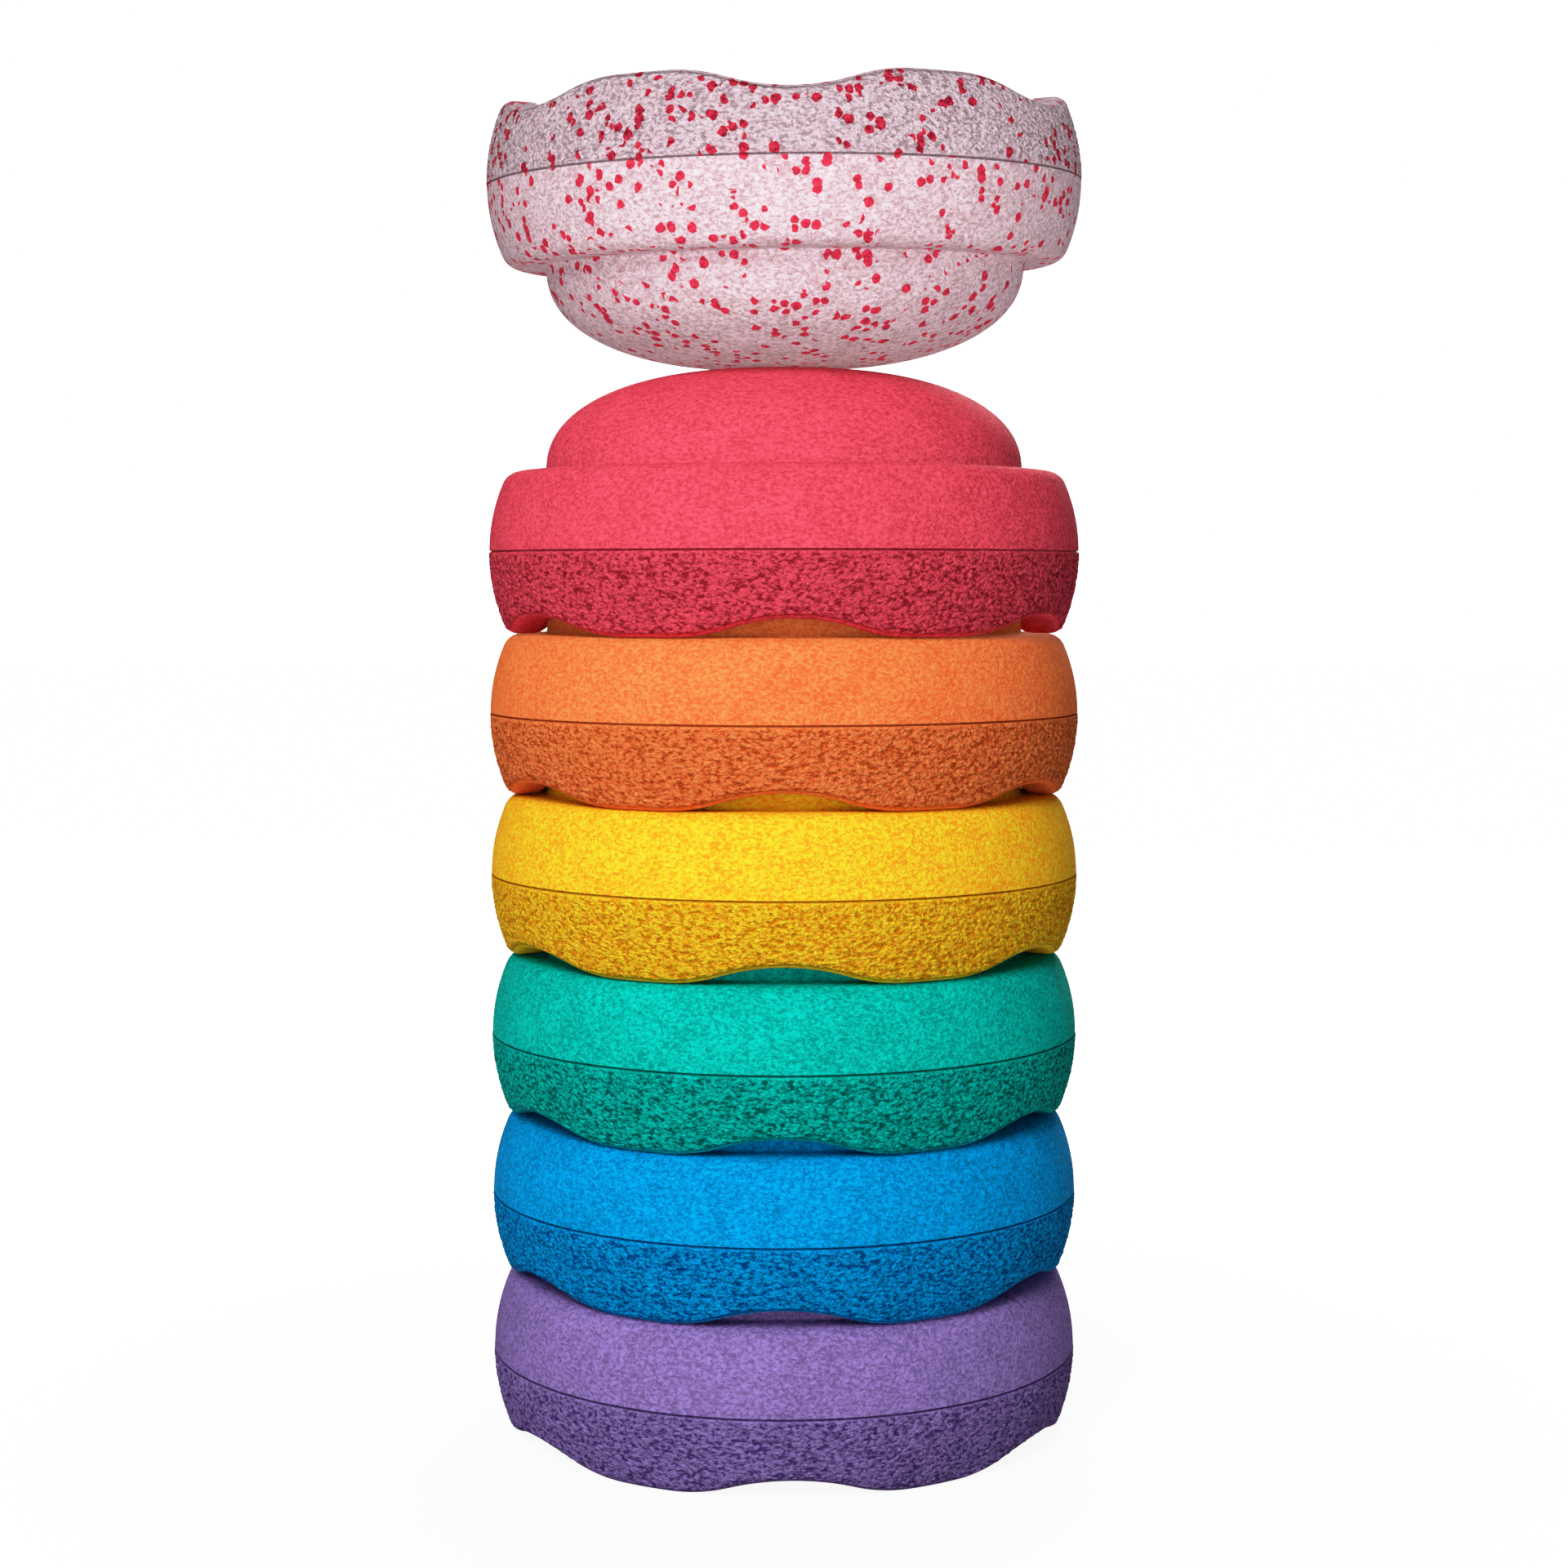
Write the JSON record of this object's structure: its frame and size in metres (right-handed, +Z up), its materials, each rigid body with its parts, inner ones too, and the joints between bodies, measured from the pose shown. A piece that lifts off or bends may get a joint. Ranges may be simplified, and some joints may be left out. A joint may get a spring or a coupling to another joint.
{
  "type": "stepping stone stack",
  "caption": "Nested stack of round domed foam stepping stones in rainbow colours, with a speckled stone turned over and balanced dome to dome on top.",
  "frame": {"origin": "on the floor under the middle of the stack", "axes": "+Z up along the stack, -Y towards the front, where an arch of every rim faces"},
  "size_m": [0.275, 0.275, 0.6235],
  "materials": {
    "purple_foam": "moulded bead foam, matt, fine grain above the parting line and coarse pebbled grain below it",
    "blue_foam": "moulded bead foam, matt, fine grain above the parting line and coarse pebbled grain below it",
    "green_foam": "moulded bead foam, matt, fine grain above the parting line and coarse pebbled grain below it",
    "yellow_foam": "moulded bead foam, matt, fine grain above the parting line and coarse pebbled grain below it",
    "orange_foam": "moulded bead foam, matt, fine grain above the parting line and coarse pebbled grain below it",
    "red_foam": "moulded bead foam, matt, fine grain above the parting line and coarse pebbled grain below it",
    "confetti_foam": "moulded bead foam, matt, fine grain above the parting line and coarse pebbled grain below it, pale pink with red specks"
  },
  "bodies": {
    "purple": {"purple_stone": "purple_foam"},
    "blue": {"blue_stone": "blue_foam"},
    "green": {"green_stone": "green_foam"},
    "yellow": {"yellow_stone": "yellow_foam"},
    "orange": {"orange_stone": "orange_foam"},
    "red": {"red_stone": "red_foam"},
    "confetti": {"confetti_stone": "confetti_foam"}
  },
  "joints": [
    {"name": "blue_lift", "type": "slide", "parent": "purple", "child": "blue", "axis": [0, 0, 1], "range_m": [0, 0.08]},
    {"name": "green_lift", "type": "slide", "parent": "blue", "child": "green", "axis": [0, 0, 1], "range_m": [0, 0.08]},
    {"name": "yellow_lift", "type": "slide", "parent": "green", "child": "yellow", "axis": [0, 0, 1], "range_m": [0, 0.08]},
    {"name": "orange_lift", "type": "slide", "parent": "yellow", "child": "orange", "axis": [0, 0, 1], "range_m": [0, 0.08]},
    {"name": "red_lift", "type": "slide", "parent": "orange", "child": "red", "axis": [0, 0, 1], "range_m": [0, 0.08]},
    {"name": "confetti_lift", "type": "slide", "parent": "red", "child": "confetti", "axis": [0, 0, 1], "range_m": [0, 0.08]}
  ]
}
